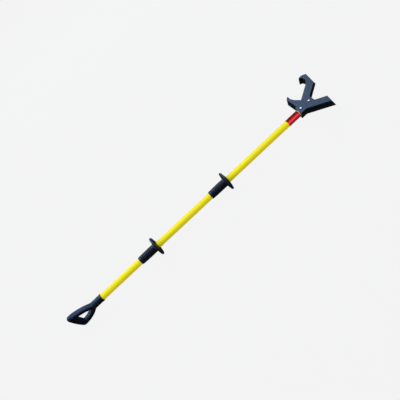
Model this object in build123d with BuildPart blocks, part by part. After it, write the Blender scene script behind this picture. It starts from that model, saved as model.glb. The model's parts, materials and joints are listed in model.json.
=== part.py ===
from build123d import *
from math import cos, radians, tan
import os

# Hands-off push-pull stick for guiding loads, in millimetres.
# The pole runs along +X from the D-handle to the head. The broad faces of the head look along Z,
# and its hook and barb reach out along +Y. The origin is on the pole's axis, at the middle of the
# D-handle's crossbar.

# Whole tool
overall_length = 1829.0
fit_gap = 0.05
bond_gap = 0.1
overrun = 5.0

# Pole
pole_diameter = 36.5
pole_wall = 3.2
handle_socket_depth = 58.0
socket_end_gap = 0.3

# Plugs and core inside the pole
handle_plug_length = 45.0
head_plug_shortfall = 5.0
plug_chamfer = 1.5

# Red sleeve at the head end of the pole
sleeve_length = 81.0
sleeve_wall = 1.25
sleeve_to_head = 3.0
sleeve_edge = 0.4

# D-handle
crossbar_radius = 17.0
crossbar_swell = 2.5
handle_width = 159.0
corner_radius = 17.0
arm_width = 27.0
arm_depth = 31.5
arm_edge_radius = 9.0
arm_shoulder_x = 45.0
arm_shoulder_inset = 10.0
fork_waist_x = 86.0
fork_waist_offset = 27.5
fork_x = 140.0
fork_offset = 2.5
handle_socket_radius = 20.8
handle_mouth_x = 178.0
collar_length = 12.0
collar_rise = 0.7
collar_edge = 0.6
handle_web_x = 88.0
handle_web_edge = 6.0

# Screw that holds the D-handle to the pole, on the barb's side
screw_diameter = 5.0
screw_from_mouth = 27.0
screw_head_diameter = 9.5
screw_head_height = 2.6
screw_reach = 20.0
screw_head_dome = 1.2
screw_key_width = 3.0
screw_key_depth = 1.6
screw_point = 1.6

# Hand grips
lower_grip_x = 451.0
upper_grip_x = 953.5
grip_length = 115.0
grip_start_diameter = 41.2
grip_lead_in = 5.0
grip_shoulder_diameter = 44.4
grip_middle_diameter = 47.4
grip_middle_x = 66.0
grip_end_diameter = 46.4
rib_count = 17
rib_pitch = 5.0
rib_groove_depth = 0.8
rib_groove_width = 1.8
rib_start = 14.0
guard_diameter = 112.0
guard_rim_thickness = 11.2
guard_hub_thickness = 21.0
guard_hub_diameter = 54.0
guard_root_radius = 3.5

# Head: outline across the broad face
head_thickness = 50.0
head_reach = 176.5
end_slant = 11.3
end_bevel = 21.4
neck_width = 49.0
neck_length = 34.5
arm_angle = 31.4
push_arm_width = 39.0
hook_arm_width = 40.0
notch_depth = 100.5
bore_to_notch = 11.5
notch_floor = 35.0
notch_radius = 8.0
inner_corner_x = 56.5
inner_corner_radius = 5.0
neck_bend_radius = 15.0
head_edge = 1.6

# Head: barb
barb_back_x = 12.5
barb_back_top = 100.0
barb_tip_x = 30.0
barb_tip_y = 112.0
barb_crook_x = 27.5
barb_crook_y = 87.0
barb_crook_radius = 15.0
barb_waist_x = 34.5
barb_waist_y = 67.5
barb_waist_radius = 40.0
barb_nose_radius = 9.0
barb_shoulder = 3.5
barb_tip_radius = 3.0

# Head: hook
throat_start_x = 150.0
beak_inner_x = 160.0
beak_inner_y = 138.0
beak_inner_radius = 6.0
beak_tip_x = 149.5
beak_tip_y = 140.5
beak_tip_radius = 2.4
beak_back_x = 149.0
beak_back_y = 149.4
beak_back_radius = 4.0
hook_crown_x = 170.0
hook_crown_y = 150.2
hook_crown_radius = 30.0
hook_corner_x = 194.0
hook_corner_y = 138.5

# Bolts through the head
bolt_diameter = 6.35
bolt_head_diameter = 12.0
bolt_head_height = 3.0
bolt_head_dome = 1.2
bolt_key_width = 4.0
bolt_key_depth = 1.8
rear_bolt_x = 19.0
front_bolt_to_pole_end = 12.0
bolt_tail = 3.0
washer_diameter = 16.0
washer_thickness = 1.4
nut_across_flats = 11.1
nut_height = 5.6
nut_collar_height = 2.2
crush_sleeve_wall = 1.0

# Sizes and places worked out from the values above
pole_radius = pole_diameter / 2
bore_radius = pole_radius - pole_wall
plug_radius = bore_radius - bond_gap
socket_radius = pole_radius + fit_gap
bolt_radius = bolt_diameter / 2
bolt_hole_radius = bolt_radius + fit_gap
crush_sleeve_radius = bolt_hole_radius + crush_sleeve_wall
half_thickness = head_thickness / 2
neck_half = neck_width / 2
arm_slope = tan(radians(arm_angle))
slant_slope = tan(radians(end_slant))
bevel_slope = tan(radians(end_bevel))
crown_fall = (hook_crown_y - hook_corner_y) / (hook_corner_x - hook_crown_x)
crown_start_y = hook_corner_y + crown_fall * hook_corner_x
head_span = (head_reach + half_thickness * bevel_slope + crown_start_y * slant_slope) / (
    1 + crown_fall * slant_slope
)
head_x = overall_length - crossbar_radius - crossbar_swell - head_span
head_socket_depth = notch_depth - bore_to_notch
head_plug_length = head_socket_depth - head_plug_shortfall
pole_start = handle_mouth_x - handle_socket_depth
pole_end = head_x + head_socket_depth
bolt_places = {"rear": head_x + rear_bolt_x, "front": pole_end - front_bolt_to_pole_end}
screw_x = handle_mouth_x - screw_from_mouth


# Planes that face along the pole, with a sketch's first direction along Y
def across(x):
    return Plane(origin=(x, 0, 0), x_dir=(0, 1, 0), z_dir=(1, 0, 0))


# Pole: pulled fibreglass tube, cross drilled for the head bolts and the handle screw
with BuildPart() as pole_tube:
    with BuildSketch(across(pole_start)):
        Circle(pole_radius)
        Circle(bore_radius, mode=Mode.SUBTRACT)
    extrude(amount=pole_end - pole_start)
    for place in bolt_places.values():
        with BuildSketch(Plane.XY.offset(-pole_diameter)):
            with Locations((place, 0)):
                Circle(crush_sleeve_radius + fit_gap)
        extrude(amount=pole_diameter * 2, mode=Mode.SUBTRACT)
    with BuildSketch(Plane.XZ.offset(-pole_diameter)):
        with Locations((screw_x, 0)):
            Circle(screw_diameter / 2 + fit_gap)
    extrude(amount=pole_diameter, mode=Mode.SUBTRACT)
pole_tube.part.label = "pole_tube"

# Plugs that close the pole's two ends
handle_plug_end = pole_start + handle_plug_length
with BuildPart() as handle_end_plug:
    with BuildSketch(across(pole_start)):
        Circle(plug_radius)
    extrude(amount=handle_plug_length)
    chamfer(handle_end_plug.edges().filter_by(GeomType.CIRCLE), plug_chamfer)
    with BuildSketch(Plane.XZ.offset(-pole_diameter)):
        with Locations((screw_x, 0)):
            Circle(screw_diameter / 2 + fit_gap)
    extrude(amount=pole_diameter, mode=Mode.SUBTRACT)
handle_end_plug.part.label = "handle_end_plug"

head_plug_start = pole_end - head_plug_length
with BuildPart() as head_end_plug:
    with BuildSketch(across(head_plug_start)):
        Circle(plug_radius)
    extrude(amount=head_plug_length)
    chamfer(head_end_plug.edges().filter_by(GeomType.CIRCLE), plug_chamfer)
    for place in bolt_places.values():
        with BuildSketch(Plane.XY.offset(-pole_diameter)):
            with Locations((place, 0)):
                Circle(crush_sleeve_radius + fit_gap)
        extrude(amount=pole_diameter * 2, mode=Mode.SUBTRACT)
head_end_plug.part.label = "head_end_plug"

# Foam that fills the pole between the plugs
with BuildPart() as foam_core:
    with BuildSketch(across(handle_plug_end)):
        Circle(plug_radius)
    extrude(amount=head_plug_start - handle_plug_end)
foam_core.part.label = "foam_core"

# Red sleeve
sleeve_end = head_x - sleeve_to_head
with BuildPart() as red_sleeve:
    with BuildSketch(across(sleeve_end - sleeve_length)):
        Circle(pole_radius + fit_gap + sleeve_wall)
        Circle(pole_radius + fit_gap, mode=Mode.SUBTRACT)
    extrude(amount=sleeve_length)
    rims = red_sleeve.edges().filter_by(GeomType.CIRCLE)
    chamfer([rim for rim in rims if rim.radius > pole_radius + sleeve_wall / 2], sleeve_edge)
red_sleeve.part.label = "red_sleeve"


# D-handle: socket, fork, two arms and crossbar in one moulding
arm_z = handle_width / 2 - corner_radius
collar_x = handle_mouth_x - collar_length
with BuildPart() as d_handle:
    # Crossbar, a little fuller in the middle
    with BuildSketch(Plane.XZ):
        with BuildLine():
            barrel = ThreePointArc(
                (crossbar_radius, -arm_z), (crossbar_radius + crossbar_swell, 0), (crossbar_radius, arm_z)
            )
            Polyline(barrel @ 1, (0, arm_z), (0, -arm_z), barrel @ 0)
        make_face()
    revolve(axis=Axis.Z)
    # Flat sided arms, one each side, with a round corner where each meets the crossbar
    for side in (1, -1):
        with Locations((0, 0, side * arm_z)):
            Sphere(corner_radius)
        with BuildLine(Plane.XZ) as arm_path:
            Spline(
                (0, side * arm_z),
                (arm_shoulder_x, side * (arm_z - arm_shoulder_inset)),
                (fork_waist_x, side * fork_waist_offset),
                (fork_x, side * fork_offset),
                tangents=((1, 0), (1, 0)),
            )
        with BuildSketch(Plane(origin=arm_path.line @ 0, x_dir=(0, 1, 0), z_dir=(1, 0, 0))):
            RectangleRounded(arm_depth, arm_width, arm_edge_radius)
        sweep(path=arm_path.line)
    # Socket, with a web that fills the fork and a raised collar at its mouth
    with BuildSketch(Plane.XY):
        with BuildLine():
            Polyline(
                (handle_web_x, 0),
                (handle_web_x, handle_socket_radius - handle_web_edge),
                (handle_web_x + handle_web_edge, handle_socket_radius),
                (collar_x, handle_socket_radius),
                (collar_x + collar_edge, handle_socket_radius + collar_rise),
                (handle_mouth_x - collar_edge, handle_socket_radius + collar_rise),
                (handle_mouth_x, handle_socket_radius),
                (handle_mouth_x, 0),
                close=True,
            )
        make_face()
    revolve(axis=Axis.X)
    with BuildSketch(across(pole_start - socket_end_gap)):
        Circle(socket_radius)
    extrude(amount=handle_socket_depth + overrun, mode=Mode.SUBTRACT)
    with BuildSketch(Plane.XZ.offset(-handle_width)):
        with Locations((screw_x, 0)):
            Circle(screw_diameter / 2 + fit_gap)
    extrude(amount=handle_width, mode=Mode.SUBTRACT)
d_handle.part.label = "d_handle"

# Round headed screw from the side of the socket into the plug
with BuildPart() as handle_screw:
    with BuildSketch(Plane.XZ.offset(-handle_socket_radius)):
        with Locations((screw_x, 0)):
            Circle(screw_diameter / 2)
    extrude(amount=screw_reach)
    chamfer(handle_screw.edges().sort_by(Axis.Y)[0], screw_point)
    with BuildSketch(Plane.XZ.offset(-handle_socket_radius)):
        with Locations((screw_x, 0)):
            Circle(screw_head_diameter / 2)
    extrude(amount=-screw_head_height)
    fillet(handle_screw.edges().sort_by(Axis.Y)[-1], screw_head_dome)
    with BuildSketch(Plane.XZ.offset(-handle_socket_radius - screw_head_height)):
        with Locations((screw_x, 0)):
            RegularPolygon(screw_key_width / 2, 6, major_radius=False)
    extrude(amount=screw_key_depth, mode=Mode.SUBTRACT)
handle_screw.part.label = "handle_screw"


# Hand grip: ribbed rubber sleeve with a round guard at its head end
def hand_grip(start):
    guard_x = start + grip_length
    hub_half = guard_hub_thickness / 2
    rim_half = guard_rim_thickness / 2
    rim_radius = guard_diameter / 2 - rim_half
    with BuildPart() as grip:
        with BuildSketch(Plane.XY) as profile:
            with BuildLine():
                barrel = ThreePointArc(
                    (start + grip_lead_in, grip_shoulder_diameter / 2),
                    (start + grip_middle_x, grip_middle_diameter / 2),
                    (guard_x - hub_half, grip_end_diameter / 2),
                )
                Polyline(
                    barrel @ 1,
                    (guard_x - hub_half, guard_hub_diameter / 2),
                    (guard_x - rim_half, rim_radius),
                    (guard_x + rim_half, rim_radius),
                    (guard_x + hub_half, guard_hub_diameter / 2),
                    (guard_x + hub_half, socket_radius),
                    (start, socket_radius),
                    (start, grip_start_diameter / 2),
                    barrel @ 0,
                )
            make_face()
            fillet(profile.vertices().sort_by_distance(barrel @ 1)[0], guard_root_radius)
            with Locations((guard_x, rim_radius)):
                Circle(rim_half)
            for rib in range(rib_count):
                with Locations(barrel @ ((rib_start + rib * rib_pitch - grip_lead_in) / barrel.length)):
                    Rectangle(rib_groove_width, rib_groove_depth * 2, mode=Mode.SUBTRACT)
        revolve(axis=Axis.X)
    return grip.part


lower_hand_grip = hand_grip(lower_grip_x)
lower_hand_grip.label = "lower_hand_grip"
upper_hand_grip = hand_grip(upper_grip_x)
upper_hand_grip.label = "upper_hand_grip"


# Head: one thick moulding with a bored neck, a V of two arms, a hook and a barb
arm_rise = 1 / cos(radians(arm_angle))
floor_low = -neck_half - arm_slope * (notch_depth - neck_length) + push_arm_width * arm_rise
floor_high = floor_low + notch_floor
hook_arm_rise = hook_arm_width * arm_rise
far_x = head_span + overrun
beyond_notch = far_x - notch_depth


def hook_arm_outer(x):
    return x, floor_high + hook_arm_rise + arm_slope * (x - notch_depth)


with BuildPart() as push_pull_head:
    with BuildSketch(Plane(origin=(head_x, 0, -half_thickness))) as head_face:
        with BuildLine():
            outside = Polyline(
                (barb_tip_x, barb_tip_y),
                (barb_back_x, barb_back_top),
                (barb_back_x, neck_half + barb_shoulder),
                (0, neck_half - barb_shoulder),
                (0, -neck_half),
                (neck_length, -neck_half),
                (far_x, -neck_half - arm_slope * (far_x - neck_length)),
                (far_x, floor_low - arm_slope * beyond_notch),
                (notch_depth, floor_low),
                (notch_depth, floor_high),
                (far_x, floor_high + arm_slope * beyond_notch),
                (far_x, crown_start_y - crown_fall * far_x),
                (hook_crown_x, hook_crown_y),
                (beak_back_x, beak_back_y),
                (beak_tip_x, beak_tip_y),
                (beak_inner_x, beak_inner_y),
            )
            arm_back = Line(hook_arm_outer(inner_corner_x), hook_arm_outer(throat_start_x))
            TangentArc(arm_back @ 1, outside @ 1, tangent=arm_back % 1)
            Polyline(
                arm_back @ 0, (barb_waist_x, barb_waist_y), (barb_crook_x, barb_crook_y), outside @ 0
            )
        make_face()
        for corner, radius in (
            ((notch_depth, floor_low), notch_radius),
            ((notch_depth, floor_high), notch_radius),
            ((neck_length, -neck_half), neck_bend_radius),
            (hook_arm_outer(inner_corner_x), inner_corner_radius),
            ((barb_waist_x, barb_waist_y), barb_waist_radius),
            ((barb_crook_x, barb_crook_y), barb_crook_radius),
            ((barb_tip_x, barb_tip_y), barb_tip_radius),
            ((barb_back_x, barb_back_top), barb_nose_radius),
            ((beak_inner_x, beak_inner_y), beak_inner_radius),
            ((beak_tip_x, beak_tip_y), beak_tip_radius),
            ((beak_back_x, beak_back_y), beak_back_radius),
            ((hook_crown_x, hook_crown_y), hook_crown_radius),
        ):
            fillet(head_face.vertices().sort_by_distance(corner)[0], radius)
    extrude(amount=head_thickness)
    fillet(push_pull_head.faces().filter_by(Axis.Z).edges(), head_edge)
    split(
        bisect_by=Plane(
            origin=(head_x + head_reach, 0, 0), z_dir=(1, -slant_slope, bevel_slope)
        ),
        keep=Keep.BOTTOM,
    )
    with BuildSketch(across(head_x - overrun)):
        Circle(socket_radius)
    extrude(amount=overrun + head_socket_depth + socket_end_gap, mode=Mode.SUBTRACT)
    for place in bolt_places.values():
        with BuildSketch(Plane.XY.offset(-head_thickness)):
            with Locations((place, 0)):
                Circle(bolt_hole_radius)
        extrude(amount=head_thickness * 2, mode=Mode.SUBTRACT)
push_pull_head.part.label = "push_pull_head"


# Bolt with a round head and a six-sided key hole, its tail through the washer and nut
def head_bolt(place):
    with BuildPart() as bolt:
        with BuildSketch(Plane(origin=(place, 0, half_thickness))):
            Circle(bolt_head_diameter / 2)
        extrude(amount=bolt_head_height)
        fillet(bolt.edges().group_by(Axis.Z)[-1], bolt_head_dome)
        with BuildSketch(Plane(origin=(place, 0, half_thickness))):
            Circle(bolt_radius)
        extrude(amount=-head_thickness - washer_thickness - nut_height - bolt_tail)
        with BuildSketch(Plane(origin=(place, 0, half_thickness + bolt_head_height))):
            RegularPolygon(bolt_key_width / 2, 6, major_radius=False)
        extrude(amount=-bolt_key_depth, mode=Mode.SUBTRACT)
    return bolt.part


def back_washer(place):
    with BuildPart() as washer:
        with BuildSketch(Plane(origin=(place, 0, -half_thickness))):
            Circle(washer_diameter / 2)
            Circle(bolt_hole_radius, mode=Mode.SUBTRACT)
        extrude(amount=-washer_thickness)
    return washer.part


# Locking nut with its round collar away from the head
def back_nut(place):
    seat = -half_thickness - washer_thickness
    with BuildPart() as nut:
        with BuildSketch(Plane(origin=(place, 0, seat))):
            RegularPolygon(nut_across_flats / 2, 6, major_radius=False)
        extrude(amount=-nut_height + nut_collar_height)
        with BuildSketch(Plane(origin=(place, 0, seat))):
            Circle(nut_across_flats / 2)
        extrude(amount=-nut_height)
        with BuildSketch(Plane(origin=(place, 0, seat))):
            Circle(bolt_hole_radius)
        extrude(amount=-nut_height, mode=Mode.SUBTRACT)
    return nut.part


# Metal sleeve round the bolt, across the pole and its plug
def crush_sleeve(place):
    half_length = (socket_radius**2 - crush_sleeve_radius**2) ** 0.5 - bond_gap
    with BuildPart() as sleeve:
        with BuildSketch(Plane(origin=(place, 0, -half_length))):
            Circle(crush_sleeve_radius)
            Circle(bolt_hole_radius, mode=Mode.SUBTRACT)
        extrude(amount=half_length * 2)
    return sleeve.part


parts = [
    pole_tube.part,
    handle_end_plug.part,
    head_end_plug.part,
    foam_core.part,
    red_sleeve.part,
    d_handle.part,
    handle_screw.part,
    lower_hand_grip,
    upper_hand_grip,
    push_pull_head.part,
]
for end, place in bolt_places.items():
    for piece, make in (
        ("head_bolt", head_bolt),
        ("back_washer", back_washer),
        ("back_nut", back_nut),
        ("crush_sleeve", crush_sleeve),
    ):
        fastener = make(place)
        fastener.label = f"{end}_{piece}"
        parts.append(fastener)

os.makedirs("parts", exist_ok=True)
for part in parts:
    export_step(part, f"parts/{part.label}.step")
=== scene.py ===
import json

import bpy
from mathutils import Matrix, Vector


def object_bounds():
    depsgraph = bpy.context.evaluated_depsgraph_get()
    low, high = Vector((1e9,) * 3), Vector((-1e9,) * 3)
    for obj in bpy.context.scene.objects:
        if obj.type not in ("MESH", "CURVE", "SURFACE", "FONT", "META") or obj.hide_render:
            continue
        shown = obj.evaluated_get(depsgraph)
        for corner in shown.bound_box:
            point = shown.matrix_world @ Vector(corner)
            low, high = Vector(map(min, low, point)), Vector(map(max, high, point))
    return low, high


# Lengths are in metres, lights in watts, and colours linear.

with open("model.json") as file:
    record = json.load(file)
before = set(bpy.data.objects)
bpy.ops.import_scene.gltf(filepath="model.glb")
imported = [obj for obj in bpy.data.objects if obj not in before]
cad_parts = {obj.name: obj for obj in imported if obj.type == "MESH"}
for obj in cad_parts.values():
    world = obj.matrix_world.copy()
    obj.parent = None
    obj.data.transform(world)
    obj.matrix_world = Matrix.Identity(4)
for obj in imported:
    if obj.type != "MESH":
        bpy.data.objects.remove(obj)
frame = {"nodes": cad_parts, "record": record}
cad_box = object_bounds()
nodes = frame["nodes"]
scene = bpy.context.scene
scene.view_settings.view_transform = "Standard"
scene.view_settings.look = "None"

# Colour sockets of Blender's Mix node, which holds a set for each kind of data
MIX_FIRST, MIX_SECOND, MIX_RESULT = 6, 7, 2


class Graph:
    """Shorthand for a material's node tree. Places are the object's own, in metres."""

    def __init__(self, name):
        self.material = bpy.data.materials.new(name)
        self.material.use_nodes = True
        self.tree = self.material.node_tree
        self.shader = self.tree.nodes["Principled BSDF"]
        self.place = self.node("ShaderNodeTexCoord").outputs["Object"]

    def node(self, kind, **settings):
        made = self.tree.nodes.new(kind)
        for key, value in settings.items():
            setattr(made, key, value)
        return made

    def join(self, source, socket):
        """Link a socket, or set a plain value on it."""
        if isinstance(source, bpy.types.NodeSocket):
            self.tree.links.new(source, socket)
        else:
            socket.default_value = source

    def constants(self, **values):
        for key, value in values.items():
            self.shader.inputs[key.replace("_", " ")].default_value = value

    def maths(self, operation, first, second=0.0):
        made = self.node("ShaderNodeMath", operation=operation)
        self.join(first, made.inputs[0])
        self.join(second, made.inputs[1])
        return made.outputs[0]

    def along_x(self):
        """The place along the pole."""
        made = self.node("ShaderNodeSeparateXYZ")
        self.join(self.place, made.inputs[0])
        return made.outputs["X"]

    def stretched(self, scale):
        made = self.node("ShaderNodeVectorMath", operation="MULTIPLY")
        self.join(self.place, made.inputs[0])
        made.inputs[1].default_value = scale
        return made.outputs[0]

    def noise(self, scale, detail, stretch=None, roughness=0.5):
        made = self.node("ShaderNodeTexNoise")
        self.join(self.stretched(stretch) if stretch else self.place, made.inputs["Vector"])
        made.inputs["Scale"].default_value = scale
        made.inputs["Detail"].default_value = detail
        made.inputs["Roughness"].default_value = roughness
        return made.outputs["Fac"]

    def cells(self, scale):
        made = self.node("ShaderNodeTexVoronoi", feature="F1")
        self.join(self.place, made.inputs["Vector"])
        made.inputs["Scale"].default_value = scale
        return made.outputs["Distance"]

    def between(self, value, low, high, out_low=0.0, out_high=1.0):
        """Map low to high onto out_low to out_high, and hold the ends."""
        made = self.node("ShaderNodeMapRange", clamp=True)
        self.join(value, made.inputs["Value"])
        for key, number in (
            ("From Min", low),
            ("From Max", high),
            ("To Min", out_low),
            ("To Max", out_high),
        ):
            made.inputs[key].default_value = number
        return made.outputs["Result"]

    def mix(self, share, first, second):
        """Colour that goes from first to second as share goes from 0 to 1."""
        made = self.node("ShaderNodeMix", data_type="RGBA")
        self.join(share, made.inputs["Factor"])
        self.join(first, made.inputs[MIX_FIRST])
        self.join(second, made.inputs[MIX_SECOND])
        return made.outputs[MIX_RESULT]

    def edges(self, radius):
        """1 on an outer edge of that radius, 0 on a flat."""
        flat_cosine, edge_cosine = 0.99, 0.9
        rounded = self.node("ShaderNodeBevel", samples=6)
        rounded.inputs["Radius"].default_value = radius
        plain = self.node("ShaderNodeNewGeometry").outputs["Normal"]
        turned = self.node("ShaderNodeVectorMath", operation="DOT_PRODUCT")
        self.join(rounded.outputs["Normal"], turned.inputs[0])
        self.join(plain, turned.inputs[1])
        return self.between(turned.outputs["Value"], flat_cosine, edge_cosine)

    def marked(self, colour, mark, mask, strength):
        """The colour with a mark on it, which at a mask of 1 covers it by the strength."""
        return self.mix(self.maths("MULTIPLY", mask, strength), colour, mark)

    def bump(self, height, distance, strength, under=None):
        made = self.node("ShaderNodeBump")
        made.inputs["Strength"].default_value = strength
        made.inputs["Distance"].default_value = distance
        self.join(height, made.inputs["Height"])
        if under is not None:
            self.join(under, made.inputs["Normal"])
        return made.outputs["Normal"]

    def finish(self, colour, roughness, normal):
        self.join(colour, self.shader.inputs["Base Color"])
        self.join(roughness, self.shader.inputs["Roughness"])
        self.join(normal, self.shader.inputs["Normal"])
        return self.material


def fibreglass():
    """Drawn fibreglass: fibres and streaks along the pole, and a pale cream band on its end past
    the sleeve.
    """
    g = Graph("fibreglass_yellow")
    yellow, deep_yellow = (0.955, 0.8, 0.004, 1), (0.875, 0.72, 0.003, 1)
    cloud_yellow, speck_brown = (0.8, 0.65, 0.01, 1), (0.3, 0.22, 0.01, 1)
    end_band_cream = (0.95, 0.88, 0.5, 1)
    band_edge = 0.0002
    streaks = g.noise(60.0, 4.0, (0.04, 1.0, 1.0))
    fibres = g.noise(900.0, 3.0, (0.02, 1.0, 1.0))
    clouds = g.noise(9.0, 3.0)
    specks = g.between(g.cells(420.0), 0.05, 0.12, 1.0, 0.0)
    colour = g.mix(g.between(streaks, 0.35, 0.7), yellow, deep_yellow)
    colour = g.mix(g.between(clouds, 0.45, 0.8, 0.0, 0.2), colour, cloud_yellow)
    colour = g.marked(colour, speck_brown, specks, 0.08)
    # The end of the pole past the sleeve turns pale cream
    sleeve_end = max(corner[0] for corner in nodes["red_sleeve"].bound_box)
    past_sleeve_band = g.between(g.along_x(), sleeve_end, sleeve_end + band_edge)
    colour = g.mix(past_sleeve_band, colour, end_band_cream)
    drawn = g.maths("ADD", streaks, g.maths("MULTIPLY", fibres, 0.5))
    roughness = g.between(drawn, 0.5, 1.1, 0.32, 0.46)
    normal = g.bump(fibres, 0.00005, 0.2, g.bump(streaks, 0.0004, 0.06))
    g.constants(IOR=1.45, Specular_IOR_Level=0.2, Coat_Weight=0.04, Coat_Roughness=0.25)
    return g.finish(colour, roughness, normal)


def red_sleeve():
    """Glossy red sleeve, paler along its chamfers by a painted highlight."""
    g = Graph("sleeve_red")
    red, deep_red = (0.52, 0.008, 0.008, 1), (0.46, 0.006, 0.006, 1)
    chamfer_highlight_red = (0.8, 0.08, 0.07, 1)
    streaks = g.noise(70.0, 4.0, (0.15, 1.0, 1.0))
    fine = g.noise(1500.0, 2.0)
    colour = g.mix(g.between(streaks, 0.3, 0.75), red, deep_red)
    # Painted highlight: paler red along the chamfers
    colour = g.marked(colour, chamfer_highlight_red, g.edges(0.0006), 0.4)
    roughness = g.between(fine, 0.3, 0.7, 0.44, 0.5)
    normal = g.bump(fine, 0.00003, 0.12, g.bump(streaks, 0.0003, 0.03))
    g.constants(IOR=1.48, Metallic=0.7, Coat_Weight=0.48, Coat_Roughness=0.4)
    return g.finish(colour, roughness, normal)


def moulded_black():
    """Black plastic of the D-handle: moulded grain, cloudy shine, and paler worn edges."""
    g = Graph("moulded_black")
    black, soft_black = (0.002, 0.003, 0.004, 1), (0.004, 0.006, 0.008, 1)
    worn_grey = (0.03, 0.036, 0.045, 1)
    grain = g.cells(1100.0)
    fine = g.noise(2600.0, 2.0)
    clouds = g.noise(28.0, 4.0)
    colour = g.mix(g.between(clouds, 0.35, 0.7), black, soft_black)
    colour = g.marked(colour, worn_grey, g.edges(0.0015), 0.3)
    cloudy = g.between(clouds, 0.3, 0.7, 0.58, 0.7)
    roughness = g.maths("ADD", cloudy, g.maths("MULTIPLY", fine, 0.06))
    normal = g.bump(grain, 0.00012, 0.3, g.bump(fine, 0.00005, 0.3))
    g.constants(IOR=1.55, Specular_IOR_Level=0.8, Specular_Tint=(0.45, 0.68, 1.0, 1))
    return g.finish(colour, roughness, normal)


def head_plastic():
    """Black plastic of the thick head: moulded grain, flow marks, scuffs and worn edges."""
    g = Graph("head_plastic")
    black, flow_black = (0.001, 0.0018, 0.0024, 1), (0.003, 0.0045, 0.006, 1)
    scuff_grey, worn_grey = (0.022, 0.03, 0.04, 1), (0.04, 0.05, 0.065, 1)
    grain = g.cells(900.0)
    fine = g.noise(2400.0, 2.0)
    flow = g.noise(14.0, 5.0, (0.5, 1.0, 1.0))
    scuffs = g.between(g.noise(110.0, 5.0, (0.25, 1.0, 1.0), 0.7), 0.58, 0.72)
    colour = g.mix(g.between(flow, 0.3, 0.7), black, flow_black)
    colour = g.marked(colour, scuff_grey, scuffs, 0.2)
    colour = g.marked(colour, worn_grey, g.edges(0.0015), 0.35)
    flowed = g.between(flow, 0.3, 0.7, 0.4, 0.52)
    roughness = g.maths("ADD", flowed, g.maths("MULTIPLY", scuffs, 0.12))
    normal = g.bump(grain, 0.00012, 0.3, g.bump(fine, 0.00006, 0.3))
    g.constants(IOR=1.55, Specular_IOR_Level=0.66, Specular_Tint=(0.7, 0.9, 1.0, 1))
    return g.finish(colour, roughness, normal)


def grip_rubber(grip):
    """Rubber of a grip: every other rib is shiny and paler on its crest, from wear and a painted
    sheen; grooves are dull and darkened by painted shade.
    """
    g = Graph(grip.name + "_rubber")
    # Groove colour is painted shade; crest colour is wear with a painted sheen
    groove_shade_black, crest_sheen_grey = (0.0005, 0.0007, 0.001, 1), (0.01, 0.012, 0.017, 1)
    dust_grey, worn_grey = (0.012, 0.015, 0.02, 1), (0.03, 0.036, 0.046, 1)
    # The grooves of the CAD source: from the grip's end to the first, their pitch and number
    end_to_groove, pitch, grooves = 0.014, 0.005, 17
    first_groove = min(corner[0] for corner in grip.bound_box) + end_to_groove
    # The shine and paleness of the smooth parts beyond the ribs, where a shiny crest has 1
    smooth_share = 0.7
    # Counted in ribs from the first groove, so that a whole number is the middle of a groove
    ribs = g.maths("DIVIDE", g.maths("SUBTRACT", g.along_x(), first_groove), pitch)
    crest = g.between(g.maths("PINGPONG", ribs, 0.5), 0.12, 0.3)
    every_other = g.maths("PINGPONG", g.maths("SUBTRACT", ribs, 0.5), 1.0)
    crest = g.maths("MULTIPLY", crest, g.between(every_other, 0.3, 0.7, 0.1, 1.0))
    ribbed = g.maths("COMPARE", ribs, (grooves - 1) / 2)
    ribbed.node.inputs[2].default_value = grooves / 2
    smooth = g.maths("MULTIPLY", g.maths("SUBTRACT", 1.0, ribbed), smooth_share)
    crest = g.maths("ADD", g.maths("MULTIPLY", crest, ribbed), smooth)
    grain = g.cells(1400.0)
    fine = g.noise(3000.0, 2.0)
    dust = g.between(g.noise(60.0, 6.0, None, 0.7), 0.5, 0.75)
    # Painted shade darkens the grooves, and a painted sheen with wear pales the crests
    colour = g.mix(crest, groove_shade_black, crest_sheen_grey)
    colour = g.marked(colour, dust_grey, dust, 0.3)
    colour = g.marked(colour, worn_grey, g.edges(0.0008), 0.3)
    shine = g.maths("ADD", crest, g.maths("MULTIPLY", fine, 0.15))
    roughness = g.between(shine, 0.0, 1.15, 0.95, 0.34)
    normal = g.bump(grain, 0.0001, 0.35, g.bump(fine, 0.00006, 0.4))
    g.constants(IOR=1.55, Specular_IOR_Level=0.41, Specular_Tint=(0.68, 0.86, 1.0, 1))
    return g.finish(colour, roughness, normal)


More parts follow.
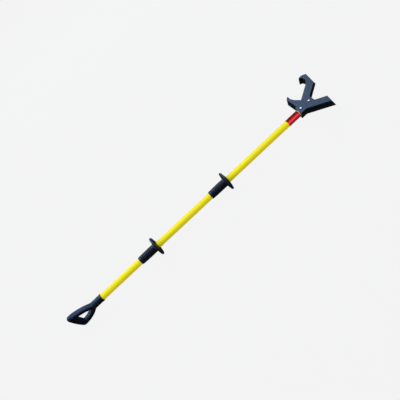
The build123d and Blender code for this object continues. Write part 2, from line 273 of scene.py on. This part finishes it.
def zinc_steel(piece):
    """Zinc plate with grain and tarnish. Painted shade darkens the rim, away from the axis along
    Z.
    """
    g = Graph(piece.name + "_zinc")
    zinc, dull_zinc = (0.62, 0.61, 0.56, 1), (0.5, 0.49, 0.44, 1)
    # Colour of the painted shade round the rim of the head
    rim_shade = (0.04, 0.045, 0.05, 1)
    # Shares of the piece's radius where the painted shade sets in and where it is full
    unshaded_share, shaded_share = 0.767, 0.9
    most_rim_shade, raggedness = 0.93, 0.0008
    crystals = g.cells(520.0)
    fine = g.noise(1800.0, 3.0)
    tarnish = g.noise(220.0, 4.0)
    corners = [Vector(corner) for corner in piece.bound_box]
    rim = max(piece.dimensions.x, piece.dimensions.y) / 2
    offset = g.node("ShaderNodeVectorMath", operation="SUBTRACT")
    g.join(g.place, offset.inputs[0])
    offset.inputs[1].default_value = sum(corners, Vector()) / len(corners)
    flat = g.node("ShaderNodeVectorMath", operation="MULTIPLY")
    g.join(offset.outputs[0], flat.inputs[0])
    flat.inputs[1].default_value = (1.0, 1.0, 0.0)
    reach = g.node("ShaderNodeVectorMath", operation="LENGTH")
    g.join(flat.outputs[0], reach.inputs[0])
    ragged = g.maths("ADD", reach.outputs["Value"], g.maths("MULTIPLY", fine, raggedness))
    colour = g.mix(g.between(tarnish, 0.4, 0.7), zinc, dull_zinc)
    # Painted shade: a dark ring round the rim narrows the bright middle of the head
    rim_shaded = g.between(ragged, unshaded_share * rim, shaded_share * rim, 0.0, most_rim_shade)
    colour = g.mix(rim_shaded, colour, rim_shade)
    roughness = g.between(g.maths("ADD", fine, crystals), 0.3, 1.2, 0.2, 0.38)
    normal = g.bump(fine, 0.00004, 0.3)
    g.constants(Metallic=1.0)
    return g.finish(colour, roughness, normal)


def plug_nylon():
    """Natural nylon with turning marks, for the hidden plugs."""
    g = Graph("plug_nylon")
    pale, shaded = (0.62, 0.6, 0.5, 1), (0.5, 0.48, 0.4, 1)
    fine = g.noise(1600.0, 3.0)
    turned = g.noise(900.0, 2.0, (1.0, 0.05, 0.05))
    colour = g.mix(g.between(fine, 0.3, 0.7), pale, shaded)
    roughness = g.between(fine, 0.3, 0.7, 0.4, 0.55)
    return g.finish(colour, roughness, g.bump(turned, 0.00008, 0.5))


def core_foam():
    """Closed-cell foam, for the hidden core."""
    g = Graph("core_foam")
    cell_brown, wall_cream = (0.45, 0.36, 0.18, 1), (0.74, 0.64, 0.38, 1)
    aged_cream = (0.6, 0.48, 0.24, 1)
    bubbles = g.cells(700.0)
    clouds = g.noise(40.0, 4.0)
    colour = g.mix(g.between(bubbles, 0.1, 0.6), cell_brown, wall_cream)
    colour = g.mix(g.between(clouds, 0.4, 0.8, 0.0, 0.4), colour, aged_cream)
    return g.finish(colour, 0.85, g.bump(bubbles, 0.0006, 0.7))


shared = {
    "fibreglass_yellow": fibreglass(),
    "sleeve_red": red_sleeve(),
    "moulded_black": moulded_black(),
    "plug_nylon": plug_nylon(),
    "core_foam": core_foam(),
}
head_look = head_plastic()
node_slots = {row["node"]: row["material_slot"] for row in frame["record"]["subparts"]}
for name, piece in nodes.items():
    if name == "push_pull_head":
        look = head_look
    elif node_slots[name] == "grip_rubber":
        look = grip_rubber(piece)
    elif node_slots[name] == "zinc_steel":
        look = zinc_steel(piece)
    else:
        look = shared[node_slots[name]]
    piece.data.materials.clear()
    piece.data.materials.append(look)
    for face in piece.data.polygons:
        face.material_index = 0

# Camera, worked out from the photograph's vanishing point, in the frame of the object.
# The lens is as long as the sensor is wide: at a distance of 1, the frame is 1 wide.
SENSOR_WIDTH = 36.0
camera_at = Vector((0.8482, -1.0544, 1.8309))
forward = Vector((0.0236, 0.5078, -0.8611)).normalized()
right = Vector((0.7301, -0.5972, -0.3321))
right = (right - forward * right.dot(forward)).normalized()
up = right.cross(forward)
camera_data = bpy.data.cameras.new("camera")
camera = bpy.data.objects.new("camera", camera_data)
scene.collection.objects.link(camera)
camera_data.sensor_width = SENSOR_WIDTH
camera_data.lens = SENSOR_WIDTH
turn = Matrix((right, up, -forward)).transposed().to_4x4()
camera.matrix_world = Matrix.Translation(camera_at) @ turn
scene.camera = camera

# Floor, pale and lit from within, so that the object's shadow stays faint
BACKGROUND = 0.896
FLOOR_SHARE = 0.008
FLOOR_HALF_WIDTH = 30.0
FLOOR_GAP = 0.001
half = FLOOR_HALF_WIDTH
floor_z = cad_box[0].z - FLOOR_GAP
floor_corners = [(-half, -half), (half, -half), (half, half), (-half, half)]
floor_mesh = bpy.data.meshes.new("floor")
floor_mesh.from_pydata([(x, y, floor_z) for x, y in floor_corners], [], [(0, 1, 2, 3)])
floor = bpy.data.objects.new("floor", floor_mesh)
scene.collection.objects.link(floor)
floor.visible_diffuse = False
floor.visible_glossy = False
floor_look = Graph("floor")
floor_look.constants(
    Base_Color=(FLOOR_SHARE, FLOOR_SHARE, FLOOR_SHARE, 1),
    Roughness=0.9,
    Specular_IOR_Level=0.0,
    Emission_Color=(1.0, 1.0, 1.0, 1),
    Emission_Strength=BACKGROUND - FLOOR_SHARE,
)
floor_mesh.materials.append(floor_look.material)

# Soft studio light: even all round, dim in reflections, and as pale as the floor behind it
AMBIENT = (0.62, 0.62, 0.68, 1)
DIMMED_IN_GLOSS = 0.96
world = bpy.data.worlds.new("studio")
scene.world = world
world.use_nodes = True
tree = world.node_tree
sky = tree.nodes["Background"]
rays = tree.nodes.new("ShaderNodeLightPath")
tint = tree.nodes.new("ShaderNodeMix")
tint.data_type = "RGBA"
tree.links.new(rays.outputs["Is Camera Ray"], tint.inputs["Factor"])
tint.inputs[MIX_FIRST].default_value = AMBIENT
tint.inputs[MIX_SECOND].default_value = (BACKGROUND, BACKGROUND, BACKGROUND, 1)
tree.links.new(tint.outputs[MIX_RESULT], sky.inputs["Color"])
dimmed = tree.nodes.new("ShaderNodeMath")
dimmed.operation = "MULTIPLY_ADD"
tree.links.new(rays.outputs["Is Glossy Ray"], dimmed.inputs[0])
dimmed.inputs[1].default_value = -DIMMED_IN_GLOSS
dimmed.inputs[2].default_value = 1.0
tree.links.new(dimmed.outputs[0], sky.inputs["Strength"])

# The soft boxes all face this point, ahead of the middle of the stick
LIT_POINT = Vector((1.1, 0.0, 0.0))


def soft_box(name, towards, distance, size, power, colour):
    """Rectangular light at that distance from LIT_POINT, in that direction."""
    data = bpy.data.lights.new(name, "AREA")
    data.shape = "RECTANGLE"
    data.size, data.size_y = size
    data.energy = power
    data.color = colour
    light = bpy.data.objects.new(name, data)
    scene.collection.objects.link(light)
    light.visible_camera = False
    aim = -Vector(towards).normalized()
    light.location = LIT_POINT - aim * distance
    light.rotation_mode = "QUATERNION"
    light.rotation_quaternion = aim.to_track_quat("-Z", "Y")
    return light


def light_only(light, keep, *names):
    """The light falls on those pieces alone, or with keep "EXCLUDE" on all but those pieces."""
    group = bpy.data.collections.new(light.name + "_pieces")
    for name in names:
        group.objects.link(nodes[name])
    for row in group.collection_objects:
        row.light_linking.link_state = keep
    light.light_linking.receiver_collection = group


# The key mirrors in the broad face of the head, the side light along the upper edges, and
# far_left in the inner side of the handle's far arm. The sleeve has a light of its own, which
# puts its highlight where the photograph has it. The low one shapes the head's dark sides.
key = soft_box("key", (0.0, 0.51, 0.86), 3.0, (4.4, 1.6), 110.0, (0.5, 0.62, 1.0))
side = soft_box("side", (0.0, 0.93, 0.37), 2.5, (4.0, 0.8), 74.0, (0.78, 0.89, 1.0))
soft_box("far_left", (-0.87, 0.47, 0.12), 3.0, (1.6, 1.6), 30.0, (0.8, 0.92, 1.0))
glint = soft_box("glint", (-0.25, -1.3, 1.65), 2.2, (3.0, 0.75), 84.0, (0.95, 0.82, 1.0))
low = soft_box("low", (0.1, -1.0, 0.0), 3.0, (3.0, 1.0), 13.0, (0.85, 0.95, 1.0))
light_only(key, "EXCLUDE", "red_sleeve")
light_only(side, "EXCLUDE", "pole_tube", "red_sleeve")
light_only(glint, "INCLUDE", "red_sleeve")
light_only(low, "INCLUDE", "push_pull_head")
